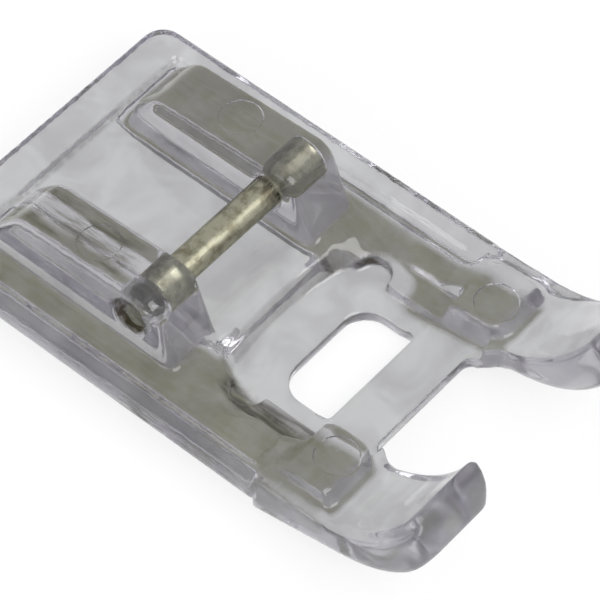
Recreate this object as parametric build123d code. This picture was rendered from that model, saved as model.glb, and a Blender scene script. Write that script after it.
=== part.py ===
from build123d import *
import os
from math import atan, cos, degrees, radians, sin, tan

# Clear moulded presser foot with a pressed-in steel cross pin, sizes in millimetres.
# While it is drawn, x = 0 is the plane of symmetry, y = 0 the pin axis with the heel at +Y,
# and z = 0 the sole. Distances to the front are written as positive numbers.

# Pin and its bores
pin_diameter = 2.0
pin_height = 5.1             # pin axis above the sole
pin_length = 14.0
pin_recess = 1.8             # pin end below the open lug's outer face
pin_end_chamfer = 0.2
bore_clearance = 0.01        # radial
mouth_diameter = 2.35        # wider open end of the bore

# Lugs that hold the pin
lug_gap = 8.2                # free length of the pin
lug_thickness = 4.0
lug_front_foot = 3.4         # front face ahead of the pin axis, at deck level
lug_front_lean = 19.5        # degrees from upright
lug_top_above_pin = 2.05
lug_top_fall = 0.45          # drop of the top towards the heel
lug_length = 11.6            # behind the pin axis, at deck level
lug_shoulder_back = 1.1      # ahead of the lug's foot at the back
lug_shoulder_height = 4.9
lug_top_back = 2.9           # end of the top, ahead of the same foot
lug_nose_radius = 1.5
lug_back_radius = 1.4
lug_edge_radius = 0.45

# Sole, rails and deck
body_width = 19.6            # between the rails' outer walls
rail_height = 2.45
deck_height = 2.2
heel_reach = 15.0            # heel edge behind the pin axis
heel_lip = 2.65              # depth of the rim along the heel
heel_overhang = 2.2
heel_rise_length = 3.0       # last stretch of the sole, which lifts off the fabric
heel_rise = 0.5
channel_width = 9.2          # stitch channel under the deck
channel_depth = 1.1
channel_front = 3.4          # ahead of the pin axis

# Rim round the sides and the heel
rim_overhang = 1.5
rim_underside = 1.4
rim_height = 2.95
rim_front = 11.85            # ahead of the pin axis
rim_corner_radius = 1.5
rim_edge_radius = 0.3

# Needle pocket, slot and crossbar
plate_thickness = 0.9
pocket_back = 4.6            # foot of the pocket's back wall, ahead of the pin axis
pocket_bow = 0.6             # ends of the back wall ahead of its middle
pocket_lean = 30.0           # degrees from upright
pocket_floor_width = 10.6
pocket_corner_radius = 1.0
ear_radius = 2.8             # dish at each back corner, at the rails' tops
ear_side = 5.6               # ear centre from the plane of symmetry
ear_front = 6.95             # ear centre ahead of the pin axis
well_radius = 1.1            # round hollow in the middle of the ear
well_top = 1.6
trough_width = 1.75          # grooves along the rails' inner edges
trough_height = 1.7
trough_front = 12.2
trough_ramp_length = 0.75
slot_width = 7.8
slot_back = 7.6
slot_front = 11.6
slot_back_radius = 1.8
bar_depth = 3.7
bar_width = 8.2              # at its front edge

# Toes: a curled plate with a lower flank along its outer side
kick_front = 10.6            # where the underside leaves the fabric
kick_angle = 13.0
kick_length = 7.9
toe_under_radius = 8.87
toe_under_turn = 52.0        # degrees
toe_top_lead = 1.2           # the top curls this far behind the underside
toe_top_height = 3.3
toe_top_angle = 25.0
toe_top_radius = 11.3
toe_top_turn = 43.0
toe_flank_back_height = 3.2  # flanks where they leave the rim
toe_flank_lead = 2.0         # the flanks curl this far behind the underside
toe_flank_height = 3.45
toe_flank_angle = 6.2
toe_flank_radius = 8.4
toe_tip_bulge = 0.35
toe_gap = 10.3               # between the toes' inner walls
toe_span = 22.1              # over the toes' outer walls
toe_flank_width = 0.55
toe_shoulder_side = 4.3
toe_shoulder_front = 16.0
toe_shoulder_length = 1.1
toe_bend_radius = 0.8
notch_radius = 0.5
toe_outer_round = 1.3        # corner radii at the tips
toe_inner_round = 1.0
toe_edge_radius = 0.4        # along the gap

# Raised pads behind the toes
pad_gap = 10.8
pad_span = 19.4
pad_ramp_front = 10.8        # where the rail starts to rise
pad_ramp_length = 2.8
pad_front = 16.75            # foot of the front face
pad_face_length = 0.8        # its lean to the back
pad_height = 4.1
pad_corner_radius = 1.4
pad_edge_radius = 0.4

# Round marks left on the tops by the mould's pushers
mark_radius = 1.35
mark_depth = 0.1
lug_mark_side = 6.2
lug_mark_back = 3.9
pad_mark_side = 7.15
pad_mark_front = 14.95

# Worked out from the sizes above
half_body = body_width / 2
half_rim = half_body + rim_overhang
half_channel = channel_width / 2
half_pad_gap = pad_gap / 2
half_floor = pocket_floor_width / 2
lug_inner = lug_gap / 2
lug_outer = lug_inner + lug_thickness
lug_top = pin_height + lug_top_above_pin
lug_top_length = lug_length - lug_top_back
sole_end = heel_reach - heel_overhang
bar_front = slot_front + bar_depth
toe_under_front = kick_front + kick_length
toe_top_front = toe_under_front - toe_top_lead
toe_flank_front = toe_under_front - toe_flank_lead
toe_straight_front = toe_shoulder_front + toe_shoulder_length
kick_slope = tan(radians(kick_angle))
on_its_foot = (Align.CENTER, Align.CENTER, Align.MIN)
clear_height = 2 * lug_top   # cutters reach this high
clear_front = heel_reach + toe_top_front   # and this far forward


def curled_point(start, radius, angle, turn):
    first = radians(angle)
    last = radians(angle + turn)
    return (start[0] - radius * (sin(last) - sin(first)), start[1] + radius * (cos(first) - cos(last)))


def curl(start, radius, angle, turn):
    middle = curled_point(start, radius, angle, turn / 2)
    return ThreePointArc(start, middle, curled_point(start, radius, angle, turn))


def closed(*lines):
    return make_face([*lines, Line(lines[-1] @ 1, lines[0] @ 0)])


def across(side_face, half_width):
    return extrude(Plane.YZ * side_face, half_width, both=True)


def upright(plan_face, bottom, top):
    return extrude(Pos(0, 0, bottom) * plan_face, top - bottom)


def both_sides(shape):
    return shape + mirror(shape, Plane.YZ)


def box_between(low, high):
    middle = [(a + b) / 2 for a, b in zip(low, high)]
    return Pos(*middle) * Box(*[b - a for a, b in zip(low, high)])


# Underside of the sole and the toes, raised by a thickness
def under_lines(lift):
    kick_end = (-toe_under_front, kick_length * kick_slope + lift)
    straight = Polyline((-kick_front, lift), kick_end)
    return straight, curl(kick_end, toe_under_radius, kick_angle, toe_under_turn)


def space_above(lift):
    straight, curled = under_lines(lift)
    return closed(
        Line((heel_reach, lift), straight @ 0),
        straight,
        curled,
        Polyline(curled @ 1, (-clear_front, (curled @ 1).Y), (-clear_front, clear_height)),
        Line((-clear_front, clear_height), (heel_reach, clear_height)),
    )


def space_below(*lines):
    front = lines[-1] @ 1
    ahead = Polyline(front, (-clear_front, front.Y), (-clear_front, -clear_height))
    return closed(*lines, ahead, Line(ahead @ 1, (heel_reach, -clear_height)))


# Side views: everything behind the tips' ends, under the tops and under the flanks
kick, underside = under_lines(0)
toe_top = curl((-toe_top_front, toe_top_height), toe_top_radius, toe_top_angle, toe_top_turn)
flank = curl((-toe_flank_front, toe_flank_height), toe_flank_radius, toe_flank_angle, toe_under_turn)
tip_middle = (underside @ 1 + toe_top @ 1) / 2
tip_across = (toe_top @ 1 - underside @ 1).normalized()
tip_end = ThreePointArc(
    underside @ 1,
    tip_middle + Vector(-tip_across.Y, tip_across.X) * toe_tip_bulge,
    toe_top @ 1,
)
behind_tips = closed(
    Polyline((sole_end, heel_rise), (sole_end - heel_rise_length, 0), kick @ 0),
    kick,
    underside,
    tip_end,
    Polyline(toe_top @ 1, ((toe_top @ 1).X, clear_height), (sole_end, clear_height)),
)
under_top = space_below(Polyline((heel_reach, rail_height), (-kick_front, rail_height), toe_top @ 0), toe_top)
under_flank = space_below(
    Polyline((heel_reach, toe_flank_back_height), (-rim_front, toe_flank_back_height), flank @ 0),
    flank,
    Line(flank @ 1, flank @ 1 + (flank % 1) * toe_flank_height),
)

# Plan views: the toes' full outline, and the curled plate with the body behind it
tip_front = -(underside @ 1).X


def toe_plan(back_corners, outer):
    corners = [
        *back_corners,
        ((outer, -tip_front), toe_outer_round),
        ((toe_gap / 2, -tip_front), toe_inner_round),
        ((toe_gap / 2, -toe_straight_front), toe_bend_radius),
        ((toe_shoulder_side, -toe_shoulder_front), toe_bend_radius),
        ((bar_width / 2, -bar_front), notch_radius),
        ((0, -bar_front), 0),
    ]
    points, radii = zip(*corners)
    return make_face(FilletPolyline(*points, radius=list(radii), close=True))


toes_plan = toe_plan([((0, -rim_front), 0), ((toe_span / 2, -rim_front), 0)], toe_span / 2)
plate_outer = toe_span / 2 - toe_flank_width
plate_plan = toe_plan(
    [
        ((0, sole_end), 0),
        ((half_body, sole_end), 0),
        ((half_body, -toe_shoulder_front), toe_bend_radius),
        ((plate_outer, -toe_straight_front), toe_bend_radius),
    ],
    plate_outer,
)

# Sole with the toes, which are rounded ahead of their roots
plate = across(behind_tips & under_top, toe_span / 2) & upright(plate_plan, 0, clear_height)
toe_root = toe_straight_front + toe_bend_radius / 2
behind_toes = box_between((0, -toe_root, 0), (toe_span / 2, heel_reach, clear_height))
toe = plate - behind_toes
gap_edges = toe.faces().sort_by(Axis.X)[0].edges()
upper_edge = gap_edges.sort_by(SortBy.LENGTH)[-1]
lower_edge = gap_edges.sort_by(Axis.Z)[0]
toe = fillet([upper_edge, lower_edge], toe_edge_radius)

# Flanks, which start as a raised edge and end below the toes' tops
flank_side = behind_tips & under_flank
outer_flank = across(flank_side, toe_span / 2) & upright(toes_plan - plate_plan, 0, clear_height)
sole = both_sides((plate & behind_toes) + toe + outer_flank)

# Rim, its front ends sunk into the toes by the radius of their edges
rim_end = -rim_front - rim_edge_radius
rim_plan = closed(
    FilletPolyline(
        (half_rim, rim_end),
        (half_rim, heel_reach),
        (-half_rim, heel_reach),
        (-half_rim, rim_end),
        radius=rim_corner_radius,
    ),
    Polyline(
        (-half_rim, rim_end),
        (-half_body, rim_end),
        (-half_body, heel_reach - heel_lip),
        (half_body, heel_reach - heel_lip),
        (half_body, rim_end),
    ),
)
rim = upright(rim_plan, rim_underside, rim_height)
rim_edges = rim.edges().group_by(Axis.Z)
rim = fillet(rim_edges[0] + rim_edges[-1], rim_edge_radius)

# Lugs
lug_lean = tan(radians(lug_front_lean))
lug_root = (channel_depth + deck_height) / 2
lug_top_front = -lug_front_foot + (lug_top - deck_height) * lug_lean
lug_side = make_face(
    FilletPolyline(
        (-lug_front_foot - (deck_height - lug_root) * lug_lean, lug_root),
        (lug_top_front, lug_top),
        (lug_top_length, lug_top - lug_top_fall),
        (lug_length - lug_shoulder_back, lug_shoulder_height),
        (lug_length, deck_height),
        (lug_length, lug_root),
        radius=[0, lug_nose_radius, lug_back_radius, lug_back_radius, 0, 0],
        close=True,
    )
)
lug = Pos(lug_inner + lug_thickness / 2, 0, 0) * across(lug_side, lug_thickness / 2)
lug_faces = lug.faces().sort_by(Axis.X)
lug = fillet(lug_faces[0].edges() + lug_faces[-1].edges(), lug_edge_radius)
lug_top_slope = lug_top_fall / (lug_top_length - lug_top_front)
lug_mark_top = lug_top - lug_top_slope * (lug_mark_back - lug_top_front)
lug_mark = Pos(lug_mark_side, lug_mark_back, lug_mark_top) * Rot(-degrees(atan(lug_top_slope)), 0, 0)
lug -= lug_mark * Pos(0, 0, -mark_depth) * Cylinder(mark_radius, lug_top, align=on_its_foot)

# Raised pads
pad_root = rail_height / 2
pad_side = make_face(
    FilletPolyline(
        (-pad_ramp_front, pad_root),
        (-pad_ramp_front, rail_height),
        (-pad_ramp_front - pad_ramp_length, pad_height),
        (-pad_front + pad_face_length, pad_height),
        (-pad_front, toe_top_height),
        (-pad_front, pad_root),
        radius=[0, 0, pad_corner_radius, pad_edge_radius, 0, 0],
        close=True,
    )
)
pad_plan = make_face(
    FilletPolyline(
        (half_pad_gap, -pad_front),
        (half_pad_gap, 0),
        (pad_span / 2, 0),
        (pad_span / 2, -pad_front),
        radius=[pad_corner_radius, 0, 0, pad_edge_radius],
        close=True,
    )
)
pad = across(pad_side & space_above(plate_thickness), pad_span / 2) & upright(pad_plan, 0, clear_height)
pad_mark = Pos(pad_mark_side, -pad_mark_front, pad_height - mark_depth)
pad -= pad_mark * Cylinder(mark_radius, lug_top, align=on_its_foot)

# Needle pocket: bowed, leaning back wall with a dished ear at each end
wall_end_front = pocket_back + pocket_bow
wall_foot = ThreePointArc(
    (half_floor, -wall_end_front),
    (0, -pocket_back),
    (-half_floor, -wall_end_front),
)
pocket_sides = Polyline(
    (-half_floor, -wall_end_front),
    (-half_floor, -ear_front),
    (half_floor, -ear_front),
    (half_floor, -wall_end_front),
)
pocket_floor = make_face(wall_foot + pocket_sides)
pocket_corners = pocket_floor.vertices().sort_by(Axis.Y)[-2:]
pocket_floor = fillet(pocket_corners, pocket_corner_radius)
pocket_middle = extrude(Pos(0, 0, plate_thickness) * pocket_floor, rail_height, taper=-pocket_lean)
dish_depth = 2 * (rail_height - well_top)
dish_radius = 2 * ear_radius - well_radius
dish = Cone(well_radius, dish_radius, dish_depth, align=on_its_foot)
well = Cylinder(well_radius, well_top - plate_thickness, align=on_its_foot)
ear = Pos(ear_side, -ear_front, well_top) * dish + Pos(ear_side, -ear_front, plate_thickness) * well
ear_cut = both_sides(ear)

# Open front of the pocket and the grooves beside it
open_plan = make_face(
    Polyline(
        (half_pad_gap, -ear_front),
        (-half_pad_gap, -ear_front),
        (-half_pad_gap, -toe_shoulder_front),
        (half_pad_gap, -toe_shoulder_front),
        close=True,
    )
)
open_cut = across(space_above(plate_thickness), half_body) & upright(open_plan, 0, clear_height)
ramp_top = trough_front + trough_ramp_length
trough_side = closed(
    Polyline(
        (-ear_front, clear_height),
        (-ear_front, trough_height),
        (-trough_front, trough_height),
        (-ramp_top, pad_height),
        (-ramp_top, clear_height),
    )
)
trough_cut = across(trough_side, half_pad_gap + trough_width)

# Slot for the needle
slot_plan = make_face(
    FilletPolyline(
        (slot_width / 2, -slot_back),
        (slot_width / 2, -slot_front),
        (-slot_width / 2, -slot_front),
        (-slot_width / 2, -slot_back),
        radius=[slot_back_radius, 0, 0, slot_back_radius],
        close=True,
    )
)
slot_cut = upright(slot_plan, -plate_thickness, clear_height)

# Deck between the lugs and stitch channel under it
deck_cut = box_between(
    (-half_channel, -pocket_back, deck_height),
    (half_channel, heel_reach - heel_lip, rim_height),
)
channel_cut = box_between(
    (-half_channel, -channel_front, -channel_depth),
    (half_channel, heel_reach, channel_depth),
)

# Bores for the pin, open on one side
pin_open_end = -lug_outer + pin_recess
pin_blind_end = pin_open_end + pin_length


def round_bar(radius, start, end):
    bar = Cylinder(radius, end - start, align=on_its_foot)
    return Pos(start, 0, pin_height) * Rot(0, 90, 0) * bar


bore_cut = round_bar(pin_diameter / 2 + bore_clearance, pin_open_end, pin_blind_end)
mouth_cut = round_bar(mouth_diameter / 2, -2 * lug_outer, pin_open_end)

foot_body = sole - deck_cut - pocket_middle - ear_cut
foot_body += rim + both_sides(lug) + both_sides(pad)
foot_body -= open_cut + trough_cut
foot_body -= slot_cut + channel_cut + bore_cut + mouth_cut

# Steel pin with chamfered ends
snap_pin = round_bar(pin_diameter / 2, pin_open_end, pin_blind_end)
pin_rims = snap_pin.edges().filter_by(GeomType.CIRCLE)
snap_pin = chamfer(pin_rims, pin_end_chamfer)

# The finished part stands with its origin under the middle of its length
box = foot_body.bounding_box()
place = Pos(0, -(box.min.Y + box.max.Y) / 2, 0)
os.makedirs("parts", exist_ok=True)
export_step(place * foot_body, "parts/foot_body.step")
export_step(place * snap_pin, "parts/snap_pin.step")
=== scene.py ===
import math
import bmesh
import bpy
import numpy as np
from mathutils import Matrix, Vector


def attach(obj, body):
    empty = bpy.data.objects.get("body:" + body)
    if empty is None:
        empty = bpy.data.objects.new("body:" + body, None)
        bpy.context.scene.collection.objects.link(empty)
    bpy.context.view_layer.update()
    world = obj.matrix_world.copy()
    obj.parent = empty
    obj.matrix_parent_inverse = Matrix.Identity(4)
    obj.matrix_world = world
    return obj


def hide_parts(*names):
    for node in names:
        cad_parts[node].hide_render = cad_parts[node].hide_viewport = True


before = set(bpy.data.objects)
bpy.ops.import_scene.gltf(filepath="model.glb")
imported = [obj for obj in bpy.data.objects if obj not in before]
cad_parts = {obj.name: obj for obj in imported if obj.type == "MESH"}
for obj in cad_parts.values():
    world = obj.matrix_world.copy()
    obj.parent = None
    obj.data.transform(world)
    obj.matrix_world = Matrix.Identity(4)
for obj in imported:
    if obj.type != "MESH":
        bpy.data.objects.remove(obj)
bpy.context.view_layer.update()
print("frame loaded:", sorted(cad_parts))


def newMaterial(name):
    material = bpy.data.materials.new(name)
    material.use_nodes = True
    tree = material.node_tree
    tree.nodes.clear()
    output = tree.nodes.new("ShaderNodeOutputMaterial")
    return material, tree, output


def addNode(tree, kind, values=None, **settings):
    node = tree.nodes.new(kind)
    for name, value in settings.items():
        setattr(node, name, value)
    for socket, value in (values or {}).items():
        node.inputs[socket].default_value = value
    return node


# A grey ramp with two stops, each a noise level and the share it gives
def addRamp(tree, source, stops):
    ramp = tree.nodes.new("ShaderNodeValToRGB")
    for stop, (position, level) in zip(ramp.color_ramp.elements, stops):
        stop.position = position
        stop.color = (level, level, level, 1)
    tree.links.new(source, ramp.inputs["Fac"])
    return ramp.outputs["Color"]


def chained(tree, operation, first, *others):
    result = first
    for other in others:
        step = addNode(tree, "ShaderNodeMath", operation=operation)
        tree.links.new(result, step.inputs[0])
        tree.links.new(other, step.inputs[1])
        result = step.outputs["Value"]
    return result


def masked(tree, attribute, *masks):
    marked = addNode(tree, "ShaderNodeAttribute", attribute_name=attribute)
    return chained(tree, "MULTIPLY", marked.outputs["Fac"], *masks)


# The first colour is a plain one or the result of an earlier mix
def mixedColour(tree, share, first, second):
    mix = addNode(tree, "ShaderNodeMix", {"B": second}, data_type="RGBA")
    tree.links.new(share, mix.inputs["Factor"])
    if isinstance(first, bpy.types.NodeSocket):
        tree.links.new(first, mix.inputs["A"])
    else:
        mix.inputs["A"].default_value = first
    return mix.outputs["Result"]


# Clear plastic, frosted olive where the runners rub on the fabric and darkened there as painted contact shade
# under them, with painted reflection streaks on one lug, dark brown painted shade in the ear wells, heel step
# and bore mouth, a dark brown band along one trough, and painted shade on the pocket's back wall
clearPlastic = {
    "clear": (0.65, 0.655, 0.655, 1),
    "smudge": (0.53, 0.53, 0.54, 1),
    "wornAndShade": (0.078, 0.076, 0.031, 1),
    "dirtAndShade": (0.028, 0.020, 0.011, 1),
    "bore": (0.98, 0.98, 0.98, 1),
    "ior": 1.49,
    "through": 0.95,                                                # the rest is a veil of fine scratches
    "absorb": (0.62, 0.59, 0.68, 1),
    "density": 60,                                                  # per metre
    "flow": {"Scale": 260, "Detail": 2, "Distortion": 0.8},         # mould flow waves, per metre
    "scuff": {"Scale": 2600, "Detail": 4, "Roughness": 0.6},
    "blotch": {"Scale": 420, "Detail": 6, "Roughness": 0.65},
    "streak": {"Scale": 2200, "Detail": 3, "Roughness": 0.6},
    "streakStretch": (1, 0.12, 1),                                  # rubbing runs from toe to heel
    "smudgeStops": [(0.42, 0.0), (0.62, 1.0)],
    "blotchStops": [(0.3, 0.9), (0.6, 1.0)],
    "streakStops": [(0.35, 0.95), (0.6, 1.0)],
    "lugReflectionStops": [(0.44, 0.1), (0.6, 1.0)],
    "wallShadeStops": [(0.35, 0.6), (0.65, 1.0)],
    "dirtAndShadeStops": [(0.36, 0.35), (0.56, 1.0)],
    "polishStops": [(0.35, 0.03), (0.75, 0.1)],                     # roughness of the clear faces
    "toeRough": 0.16,                                               # added to it on the toes
    "wornRough": 0.32,                                              # and on the runners
    "waveBump": {"Strength": 0.04, "Distance": 0.0004},
    "markBump": {"Strength": 0.9, "Distance": 0.0002},
    "marks": [(0.0062, 0.00867), (0.00715, -0.01018)],              # pusher marks on the lugs and the pads
    "markEdge": (0.00130, 0.00138),
    "markFloor": 0.0034,                                            # only the tops carry them
}


def pusherMarks(tree, place, look):
    axes = addNode(tree, "ShaderNodeSeparateXYZ")
    tree.links.new(place, axes.inputs["Vector"])
    side = addNode(tree, "ShaderNodeMath", operation="ABSOLUTE")
    tree.links.new(axes.outputs["X"], side.inputs[0])
    flat = addNode(tree, "ShaderNodeCombineXYZ")
    tree.links.new(side.outputs["Value"], flat.inputs["X"])
    tree.links.new(axes.outputs["Y"], flat.inputs["Y"])
    high = addNode(tree, "ShaderNodeMath", {1: look["markFloor"]}, operation="GREATER_THAN")
    tree.links.new(axes.outputs["Z"], high.inputs[0])
    edgeStart, edgeEnd = look["markEdge"]
    height = high.outputs["Value"]
    for x, y in look["marks"]:
        away = addNode(tree, "ShaderNodeVectorMath", {1: (x, y, 0)}, operation="DISTANCE")
        tree.links.new(flat.outputs["Vector"], away.inputs[0])
        step = addNode(tree, "ShaderNodeMapRange", {"From Min": edgeStart, "From Max": edgeEnd})
        tree.links.new(away.outputs["Value"], step.inputs["Value"])
        height = chained(tree, "MULTIPLY", height, step.outputs["Result"])
    return height


def makeClearPlastic(look):
    material, tree, output = newMaterial("clear_plastic")
    place = addNode(tree, "ShaderNodeTexCoord")
    along = addNode(tree, "ShaderNodeMapping", {"Scale": look["streakStretch"]})
    tree.links.new(place.outputs["Object"], along.inputs["Vector"])
    scuff = addNode(tree, "ShaderNodeTexNoise", look["scuff"])
    flow = addNode(tree, "ShaderNodeTexNoise", look["flow"])
    blotch = addNode(tree, "ShaderNodeTexNoise", look["blotch"])
    streak = addNode(tree, "ShaderNodeTexNoise", look["streak"])
    for texture in (scuff, flow, blotch):
        tree.links.new(place.outputs["Object"], texture.inputs["Vector"])
    tree.links.new(along.outputs["Vector"], streak.inputs["Vector"])
    smudgeMask = addRamp(tree, flow.outputs["Fac"], look["smudgeStops"])
    blotchMask = addRamp(tree, blotch.outputs["Fac"], look["blotchStops"])
    streakMask = addRamp(tree, streak.outputs["Fac"], look["streakStops"])
    lugReflectionMask = addRamp(tree, streak.outputs["Fac"], look["lugReflectionStops"])
    wallShadeMask = addRamp(tree, blotch.outputs["Fac"], look["wallShadeStops"])
    dirtAndShadeMask = addRamp(tree, streak.outputs["Fac"], look["dirtAndShadeStops"])

    # colour, from the bare plastic to what lies on it
    wornAndShade = masked(tree, "runner_wear_and_shade", blotchMask, streakMask)
    colour = mixedColour(tree, smudgeMask, look["clear"], look["smudge"])
    colour = mixedColour(tree, masked(tree, "bore_wall"), colour, look["bore"])
    # olive wear on the runners, darkened further as painted contact shade
    colour = mixedColour(tree, wornAndShade, colour, look["wornAndShade"])
    # painted dark reflection streaks on one lug's top
    colour = mixedColour(tree, masked(tree, "lug_painted_reflection", lugReflectionMask), colour, look["wornAndShade"])
    # painted shade on the pocket's back wall
    colour = mixedColour(tree, masked(tree, "wall_painted_shade", wallShadeMask), colour, look["dirtAndShade"])
    # painted shade in the ear wells, at the heel step and in the bore's open mouth, with a dark brown band
    # along one trough
    colour = mixedColour(tree, masked(tree, "recess_dirt_and_shade", dirtAndShadeMask), colour, look["dirtAndShade"])

    # roughness, rubbed up on the toes and the runners
    polish = addRamp(tree, scuff.outputs["Fac"], look["polishStops"])
    rubbed = addNode(tree, "ShaderNodeMath", {1: look["toeRough"]}, operation="MULTIPLY_ADD")
    tree.links.new(masked(tree, "toe_rub"), rubbed.inputs[0])
    tree.links.new(polish, rubbed.inputs[2])
    rough = addNode(tree, "ShaderNodeMath", {1: look["wornRough"]}, operation="MULTIPLY_ADD")
    tree.links.new(wornAndShade, rough.inputs[0])
    tree.links.new(rubbed.outputs["Value"], rough.inputs[2])

    # relief of the mould flow and the pusher marks
    waves = addNode(tree, "ShaderNodeBump", look["waveBump"])
    tree.links.new(flow.outputs["Fac"], waves.inputs["Height"])
    bump = addNode(tree, "ShaderNodeBump", look["markBump"])
    tree.links.new(pusherMarks(tree, place.outputs["Object"], look), bump.inputs["Height"])
    tree.links.new(waves.outputs["Normal"], bump.inputs["Normal"])

    clearness = {"IOR": look["ior"], "Transmission Weight": look["through"]}
    surface = addNode(tree, "ShaderNodeBsdfPrincipled", clearness)
    tree.links.new(colour, surface.inputs["Base Color"])
    tree.links.new(rough.outputs["Value"], surface.inputs["Roughness"])
    tree.links.new(bump.outputs["Normal"], surface.inputs["Normal"])
    tint = {"Color": look["absorb"], "Density": look["density"]}
    inside = addNode(tree, "ShaderNodeVolumeAbsorption", tint)
    tree.links.new(surface.outputs["BSDF"], output.inputs["Surface"])
    tree.links.new(inside.outputs["Volume"], output.inputs["Volume"])
    return material


# Drawn steel wire of the pin, with painted shade beside the lug on the +X side
pinSteel = {
    "light": (0.40, 0.39, 0.29, 1),
    "dark": (0.16, 0.145, 0.09, 1),
    "pinShade": (0.035, 0.026, 0.016, 1),
    "pinShadeEnds": (0.0028, 0.0040),                                  # where it starts and is full
    "openEnd": 0.0041,                                              # none inside the lug
    "draw": {"Scale": 3600, "Detail": 3},                           # drawing lines, per metre
    "drawStretch": (0.12, 1, 1),
    "drawBump": {"Strength": 0.15, "Distance": 0.00003},
    "spot": {"Scale": 1400, "Detail": 5, "Roughness": 0.65},
    "spotStops": [(0.45, 0.0), (0.7, 1.0)],
    "pinShadeStops": [(0.4, 0.1), (0.58, 1.0)],
    "roughStops": [(0.3, 0.22), (0.7, 0.4)],
}


def makePinSteel(look):
    material, tree, output = newMaterial("pin_steel")
    place = addNode(tree, "ShaderNodeTexCoord")
    stretch = addNode(tree, "ShaderNodeMapping", {"Scale": look["drawStretch"]})
    tree.links.new(place.outputs["Object"], stretch.inputs["Vector"])
    lines = addNode(tree, "ShaderNodeTexNoise", look["draw"])
    tree.links.new(stretch.outputs["Vector"], lines.inputs["Vector"])
    spots = addNode(tree, "ShaderNodeTexNoise", look["spot"])
    tree.links.new(place.outputs["Object"], spots.inputs["Vector"])
    spotMask = addRamp(tree, spots.outputs["Fac"], look["spotStops"])
    colour = mixedColour(tree, spotMask, look["light"], look["dark"])
    axes = addNode(tree, "ShaderNodeSeparateXYZ")
    tree.links.new(place.outputs["Object"], axes.inputs["Vector"])
    # painted shade on the pin beside the lug on the +X side, none inside the lug
    pinShadeStart, pinShadeFull = look["pinShadeEnds"]
    beside = addNode(tree, "ShaderNodeMapRange", {"From Min": pinShadeStart, "From Max": pinShadeFull})
    tree.links.new(axes.outputs["X"], beside.inputs["Value"])
    openLength = addNode(tree, "ShaderNodeMath", {1: look["openEnd"]}, operation="LESS_THAN")
    tree.links.new(axes.outputs["X"], openLength.inputs[0])
    pinShadeMask = addRamp(tree, spots.outputs["Fac"], look["pinShadeStops"])
    pinShadePatch = chained(tree, "MULTIPLY", beside.outputs["Result"], pinShadeMask, openLength.outputs["Value"])
    colour = mixedColour(tree, pinShadePatch, colour, look["pinShade"])
    rough = addRamp(tree, lines.outputs["Fac"], look["roughStops"])
    bump = addNode(tree, "ShaderNodeBump", look["drawBump"])
    tree.links.new(lines.outputs["Fac"], bump.inputs["Height"])
    surface = addNode(tree, "ShaderNodeBsdfPrincipled", {"Metallic": 1})
    tree.links.new(colour, surface.inputs["Base Color"])
    tree.links.new(rough, surface.inputs["Roughness"])
    tree.links.new(bump.outputs["Normal"], surface.inputs["Normal"])
    tree.links.new(surface.outputs["BSDF"], output.inputs["Surface"])
    return material


# Moulded body with every edge rounded, as it comes out of the mould,
# and the places of wear, soiling, painted shade and painted reflection. Facing limits are for the upward part
# of the normal.
mouldedBody = {
    "merge": 1e-6,
    "cell": 0.00014,
    "smoothing": 0.5,
    "rounding": 7,                                  # smoothing passes over the cells
    "thinned": 0.66,                                # share of the triangles that stay
    "evening": 3,                                   # smoothing passes after thinning
    "foldLimit": 0.2,                               # triangles turned further from their neighbours are folds
    "unfoldPasses": 20,
    "evenPasses": 4,                                # averaging of the normals
    "pinAxis": (0.004772, 0.0051),
    "pinEnd": -0.0063,
    "bore": 0.00098,                                # the plastic grips the pin without an air gap
    "boreReach": 1.2,                               # cells around the bore that are pulled to its radius
    "boreCap": 0.5,                                 # share of the radius where the bore's end stays flat
    "mouth": 0.001175,
    "lugFace": 0.0042,
    "blur": 0.0003,
    "sharpBlur": 0.0001,
    "runnerInner": (0.0054, 0.0047),                # beside the pocket and behind it
    "runnerOuter": 0.0097,
    "runnerEnds": (-0.0119, 0.0170),
    "runnerFacing": (0.6, 0.9),                     # downwards
    "pocketEnds": (-0.0021, 0.0014),
    "channel": (0.0044, 0.0048),
    "channelTop": 0.0012,
    "channelShare": 0.3,
    "ear": (0.0056, -0.00218),
    "dish": (0.0021, 0.0027),
    "well": (0.0008, 0.0014),
    "wellHeights": (0.0008, 0.0018),
    "wellFacing": (-0.8, -0.4),                     # either way, upright walls only
    "troughLengths": (-0.0079, -0.0060, -0.0042, -0.0027, -0.0007),
    "troughSides": (-0.00615, -0.00625, -0.00640, -0.00655, -0.00590),     # one side only
    "troughHalf": 0.0006,
    "troughTop": 0.0023,
    "troughFacing": (0.0, 0.3),
    "troughShare": 0.9,
    "heelStep": (0.0169, 0.0172),
    "heelFloor": 0.0017,
    "heelShare": 0.5,
    "backWall": (-0.0011, 0.0009),
    "backWallFloor": 0.0007,
    "backWallFacing": (0.25, 0.8),
    "facingBlur": 0.1,
    "wallShadeShares": (0.5, 0.8),                       # from the -X end of the wall to the +X end
    "lugTop": (-0.0076, -0.0046),
    "lugTopEnds": (0.0062, 0.0160),
    "lugTopFloor": 0.0034,
    "lugTopFacing": (0.5, 0.8),
    "lugReflectionShare": 0.8,
    "toes": (0.0150, 0.0180),                       # ahead of the middle
}
tiny = 1e-9                                         # keeps a division off zero


def vertexVectors(mesh, name):
    values = np.empty(len(mesh.vertices) * 3)
    mesh.vertices.foreach_get(name, values)
    return values.reshape(-1, 3)


def edgeEnds(mesh):
    ends = np.empty(len(mesh.edges) * 2, dtype=int)
    mesh.edges.foreach_get("vertices", ends)
    return ends.reshape(-1, 2).T


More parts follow.
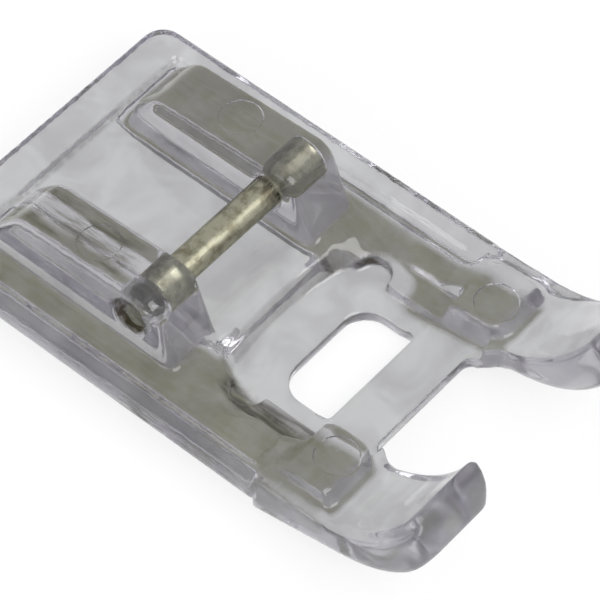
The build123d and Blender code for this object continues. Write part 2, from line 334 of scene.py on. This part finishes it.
def shapeBody(size):
    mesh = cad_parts["foot_body"].data.copy()
    shape = bmesh.new()
    shape.from_mesh(mesh)
    bmesh.ops.remove_doubles(shape, verts=shape.verts, dist=size["merge"])
    shape.to_mesh(mesh)
    shape.free()
    form = bpy.data.objects.new("form", mesh.copy())
    body = bpy.data.objects.new("moulded_foot", mesh)
    bpy.context.scene.collection.objects.link(form)
    bpy.context.scene.collection.objects.link(body)
    cells = body.modifiers.new("cells", "REMESH")
    cells.mode = "VOXEL"
    cells.voxel_size = size["cell"]
    press = body.modifiers.new("press", "SHRINKWRAP")       # flats lie true on the form
    press.target = form
    rounding = body.modifiers.new("rounding", "SMOOTH")
    rounding.factor = size["smoothing"]
    rounding.iterations = size["rounding"]
    thin = body.modifiers.new("thin", "DECIMATE")
    thin.ratio = size["thinned"]
    thin.use_collapse_triangulate = True
    evening = body.modifiers.new("evening", "SMOOTH")
    evening.factor = size["smoothing"]
    evening.iterations = size["evening"]
    made = bpy.data.meshes.new_from_object(body.evaluated_get(bpy.context.evaluated_depsgraph_get()))
    body.modifiers.clear()
    body.data = made
    bpy.data.objects.remove(form)
    return body


# Rounding shrinks the bore, so its wall goes back to the radius
def trueBore(body, size):
    points = vertexVectors(body.data, "co")
    y = points[:, 1] - size["pinAxis"][0]
    z = points[:, 2] - size["pinAxis"][1]
    away = np.hypot(y, z)
    wanted = np.where(points[:, 0] < size["pinEnd"] - size["cell"], size["mouth"], size["bore"])
    wall = (away < wanted + size["boreReach"] * size["cell"]) & (np.abs(points[:, 0]) > size["lugFace"])
    wall &= away >= size["boreCap"] * size["bore"]
    grow = np.where(wall, wanted / np.maximum(away, tiny), 1.0)
    points[:, 1] = size["pinAxis"][0] + y * grow
    points[:, 2] = size["pinAxis"][1] + z * grow
    body.data.vertices.foreach_set("co", points.ravel())
    return points


# Triangles that thinning folded over are drawn flat by their neighbours
def unfold(body, points, size):
    mesh = body.data
    first, second = edgeEnds(mesh)
    faces = np.empty(len(mesh.polygons) * 3, dtype=int)
    mesh.polygons.foreach_get("vertices", faces)
    faces = faces.reshape(-1, 3)
    count = np.bincount(first, minlength=len(points)) + np.bincount(second, minlength=len(points))
    for _ in range(size["unfoldPasses"]):
        corners = points[faces]
        across = np.cross(corners[:, 1] - corners[:, 0], corners[:, 2] - corners[:, 0])
        normals = np.zeros_like(points)
        for corner in range(3):
            np.add.at(normals, faces[:, corner], across)
        around = normals[faces].sum(axis=1)
        lengths = np.linalg.norm(across, axis=1) * np.linalg.norm(around, axis=1)
        turned = (across * around).sum(axis=1) < size["foldLimit"] * lengths
        if not turned.any():
            break
        loose = np.unique(faces[turned])
        total = np.zeros_like(points)
        np.add.at(total, first, points[second])
        np.add.at(total, second, points[first])
        points[loose] = total[loose] / count[loose, None]
    print("folds left:", int(turned.sum()))
    mesh.vertices.foreach_set("co", points.ravel())
    mesh.update()
    return points


def evenNormals(body, size):
    mesh = body.data
    first, second = edgeEnds(mesh)
    normals = vertexVectors(mesh, "normal")
    for _ in range(size["evenPasses"]):
        spread = normals.copy()
        np.add.at(spread, first, normals[second])
        np.add.at(spread, second, normals[first])
        normals = spread / np.maximum(np.linalg.norm(spread, axis=1, keepdims=True), tiny)
    mesh.normals_split_custom_set_from_vertices(normals.tolist())


def markBody(body, name, share):
    mark = body.data.attributes.new(name, "FLOAT", "POINT")
    mark.data.foreach_set("value", share.astype(float))


def fade(value, low, high):
    return np.clip((value - low) / (high - low), 0, 1)


def beyond(value, start, blur):
    return fade(value, start - blur, start + blur)


def within(value, ends, blur):
    return beyond(value, ends[0], blur) * beyond(-value, -ends[1], blur)


# Runners and a little of the stitch channel's walls, rubbed olive and darkened as painted contact shade;
# painted reflection streaks on one lug's top; the rubbed toes
def wearAndPaintedLight(body, points, size):
    x, y, z = points.T
    side = np.abs(x)
    facing = vertexVectors(body.data, "normal")[:, 2]
    blur = size["blur"]
    inner = np.interp(y, size["pocketEnds"], size["runnerInner"])
    runner = beyond(side, inner, blur) * beyond(-side, -size["runnerOuter"], blur)
    runner *= within(y, size["runnerEnds"], blur) * fade(-facing, *size["runnerFacing"])
    fromEar = np.hypot(side - size["ear"][0], y - size["ear"][1])
    runner *= np.where(x > 0, fade(fromEar, *size["dish"]), 1)      # no wear or painted shade under the dish on the +X side
    channelEnds = (size["pocketEnds"][1], size["runnerEnds"][1])
    channel = within(side, size["channel"], size["sharpBlur"]) * within(y, channelEnds, blur)
    channel *= fade(-z, -size["channelTop"], blur - size["channelTop"])
    markBody(body, "runner_wear_and_shade", np.maximum(runner, size["channelShare"] * channel))
    # painted dark reflection streaks on the top of the lug on the -X side
    lugTop = within(x, size["lugTop"], blur) * within(y, size["lugTopEnds"], blur)
    lugTop *= (z > size["lugTopFloor"]) * fade(facing, *size["lugTopFacing"])
    markBody(body, "lug_painted_reflection", size["lugReflectionShare"] * lugTop)
    markBody(body, "toe_rub", fade(-y, *size["toes"]))


# Painted shade in the ear wells, at the heel step and in the bore mouth, a dark brown band along one trough,
# and painted shade on the pocket's back wall
def soilAndPaintedShade(body, points, size):
    x, y, z = points.T
    side = np.abs(x)
    facing = vertexVectors(body.data, "normal")[:, 2]
    blur = size["blur"]
    sharp = size["sharpBlur"]
    fromEar = np.hypot(side - size["ear"][0], y - size["ear"][1])
    well = within(fromEar, size["well"], sharp) * within(z, size["wellHeights"], sharp)
    well *= fade(-np.abs(facing), *size["wellFacing"])
    lengths = size["troughLengths"]
    fromPath = np.abs(x - np.interp(y, lengths, size["troughSides"]))
    trough = fade(-fromPath, -size["troughHalf"] - blur, -size["troughHalf"])
    trough *= within(y, (lengths[0], lengths[-1]), blur) * fade(facing, *size["troughFacing"])
    trough *= fade(-z, -size["troughTop"] - blur, -size["troughTop"])
    heel = within(y, size["heelStep"], sharp) * (z > size["heelFloor"]) * (side < size["runnerOuter"])
    fromPin = np.hypot(y - size["pinAxis"][0], z - size["pinAxis"][1])
    bored = (fromPin < size["mouth"] + size["cell"] / 2) & (side > size["lugFace"] - size["cell"])
    mouth = bored & (x < size["pinEnd"])
    # painted shade in the wells, at the heel step and in the open mouth; the trough band is dark brown too
    dirtAndShade = [well, size["troughShare"] * trough, size["heelShare"] * heel, mouth]
    markBody(body, "recess_dirt_and_shade", np.max(dirtAndShade, axis=0))
    markBody(body, "bore_wall", bored & ~mouth)             # clean where it grips the pin
    # painted shade on the pocket's back wall, deeper towards +X
    wallEnd = size["channel"][0]
    wall = within(y, size["backWall"], blur) * (side < wallEnd) * (z > size["backWallFloor"])
    wall *= within(facing, size["backWallFacing"], size["facingBlur"])
    markBody(body, "wall_painted_shade", wall * np.interp(x, (-wallEnd, wallEnd), size["wallShadeShares"]))


plastic = makeClearPlastic(clearPlastic)
steel = makePinSteel(pinSteel)
print("materials made")
footBody = shapeBody(mouldedBody)
bodyPoints = unfold(footBody, trueBore(footBody, mouldedBody), mouldedBody)
print("body shaped:", len(footBody.data.polygons), "triangles")
wearAndPaintedLight(footBody, bodyPoints, mouldedBody)
soilAndPaintedShade(footBody, bodyPoints, mouldedBody)
print("body worn and soiled")
footBody.data.materials.clear()
footBody.data.materials.append(plastic)
footBody.data.shade_smooth()
evenNormals(footBody, mouldedBody)
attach(footBody, "root")
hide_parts("foot_body")
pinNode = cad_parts["snap_pin"]
pinNode.data.materials.clear()
pinNode.data.materials.append(steel)
print("body and pin painted")

# Floor, white to the eye and in the clear plastic, with the shadow kept
floorSet = {
    "size": 1.2,
    "drop": 0.00002,                                # below the sole
    "colour": (0.86, 0.86, 0.86, 1),
    "glow": 1.0,
    "shadow": 0.2,
}


def makeFloor(size):
    material, tree, output = newMaterial("floor_paint")
    ray = addNode(tree, "ShaderNodeLightPath").outputs
    rays = (ray["Is Camera Ray"], ray["Is Glossy Ray"], ray["Is Transmission Ray"])
    share = addNode(tree, "ShaderNodeMath", {1: 1 - size["shadow"]}, operation="MULTIPLY")
    tree.links.new(chained(tree, "MAXIMUM", *rays), share.inputs[0])
    matte = addNode(tree, "ShaderNodeBsdfDiffuse", {"Color": size["colour"]})
    glow = addNode(tree, "ShaderNodeEmission", {"Strength": size["glow"]})
    mix = addNode(tree, "ShaderNodeMixShader")
    tree.links.new(share.outputs["Value"], mix.inputs["Fac"])
    tree.links.new(matte.outputs["BSDF"], mix.inputs[1])
    tree.links.new(glow.outputs["Emission"], mix.inputs[2])
    tree.links.new(mix.outputs["Shader"], output.inputs["Surface"])
    half = size["size"] / 2
    corners = [(-half, -half, 0), (half, -half, 0), (half, half, 0), (-half, half, 0)]
    mesh = bpy.data.meshes.new("floor")
    mesh.from_pydata(corners, [], [(0, 1, 2, 3)])
    mesh.materials.append(material)
    floor = bpy.data.objects.new("floor", mesh)
    floor.location.z = -size["drop"]
    bpy.context.scene.collection.objects.link(floor)


makeFloor(floorSet)
print("floor made")

# Soft studio light
softLights = [
    {"name": "front_box", "place": (0.02, -0.24, 0.27), "size": 0.24, "power": 0.9, "colour": (1, 1, 1)},
    {"name": "left_box", "place": (-0.30, 0.05, 0.16), "size": 0.20, "power": 0.3, "colour": (0.97, 0.97, 1)},
]
studioAir = {"colour": (0.86, 0.86, 0.89, 1), "strength": 0.85}


def makeLights(lights, air):
    for light in lights:
        lamp = bpy.data.lights.new(light["name"], "AREA")
        lamp.shape = "SQUARE"
        lamp.size = light["size"]
        lamp.energy = light["power"]
        lamp.color = light["colour"]
        stand = bpy.data.objects.new(light["name"], lamp)
        stand.location = light["place"]
        stand.rotation_euler = (-Vector(light["place"])).to_track_quat("-Z", "Y").to_euler()
        bpy.context.scene.collection.objects.link(stand)
    world = bpy.data.worlds.new("studio")
    world.use_nodes = True
    background = world.node_tree.nodes["Background"]
    background.inputs["Color"].default_value = air["colour"]
    background.inputs["Strength"].default_value = air["strength"]
    bpy.context.scene.world = world


makeLights(softLights, studioAir)
print("lights made")

# Camera at the photograph's angle
cameraSet = {
    "azimuth": -49.3,
    "elevation": 53.0,
    "distance": 0.228,
    "lens": 234,
    "sensor": 36,
    "nearest": 0.01,
    "aim": (0.000586, -0.000777, 0.002708),
}

# Light passes many walls inside the clear body
lightBounces = {"max_bounces": 24, "glossy_bounces": 16, "transmission_bounces": 20}


def makeCamera(size):
    around = math.radians(size["azimuth"])
    above = math.radians(size["elevation"])
    level = math.cos(above)
    back = Vector((math.sin(around) * level, -math.cos(around) * level, math.sin(above)))
    lens = bpy.data.cameras.new("camera")
    lens.lens = size["lens"]
    lens.sensor_width = size["sensor"]
    lens.clip_start = size["nearest"]
    camera = bpy.data.objects.new("camera", lens)
    camera.location = Vector(size["aim"]) + back * size["distance"]
    camera.rotation_euler = (-back).to_track_quat("-Z", "Y").to_euler()
    bpy.context.scene.collection.objects.link(camera)
    bpy.context.scene.camera = camera


makeCamera(cameraSet)
bpy.context.scene.view_settings.view_transform = "Standard"
for kind, bounces in lightBounces.items():
    setattr(bpy.context.scene.cycles, kind, bounces)
print("camera made")
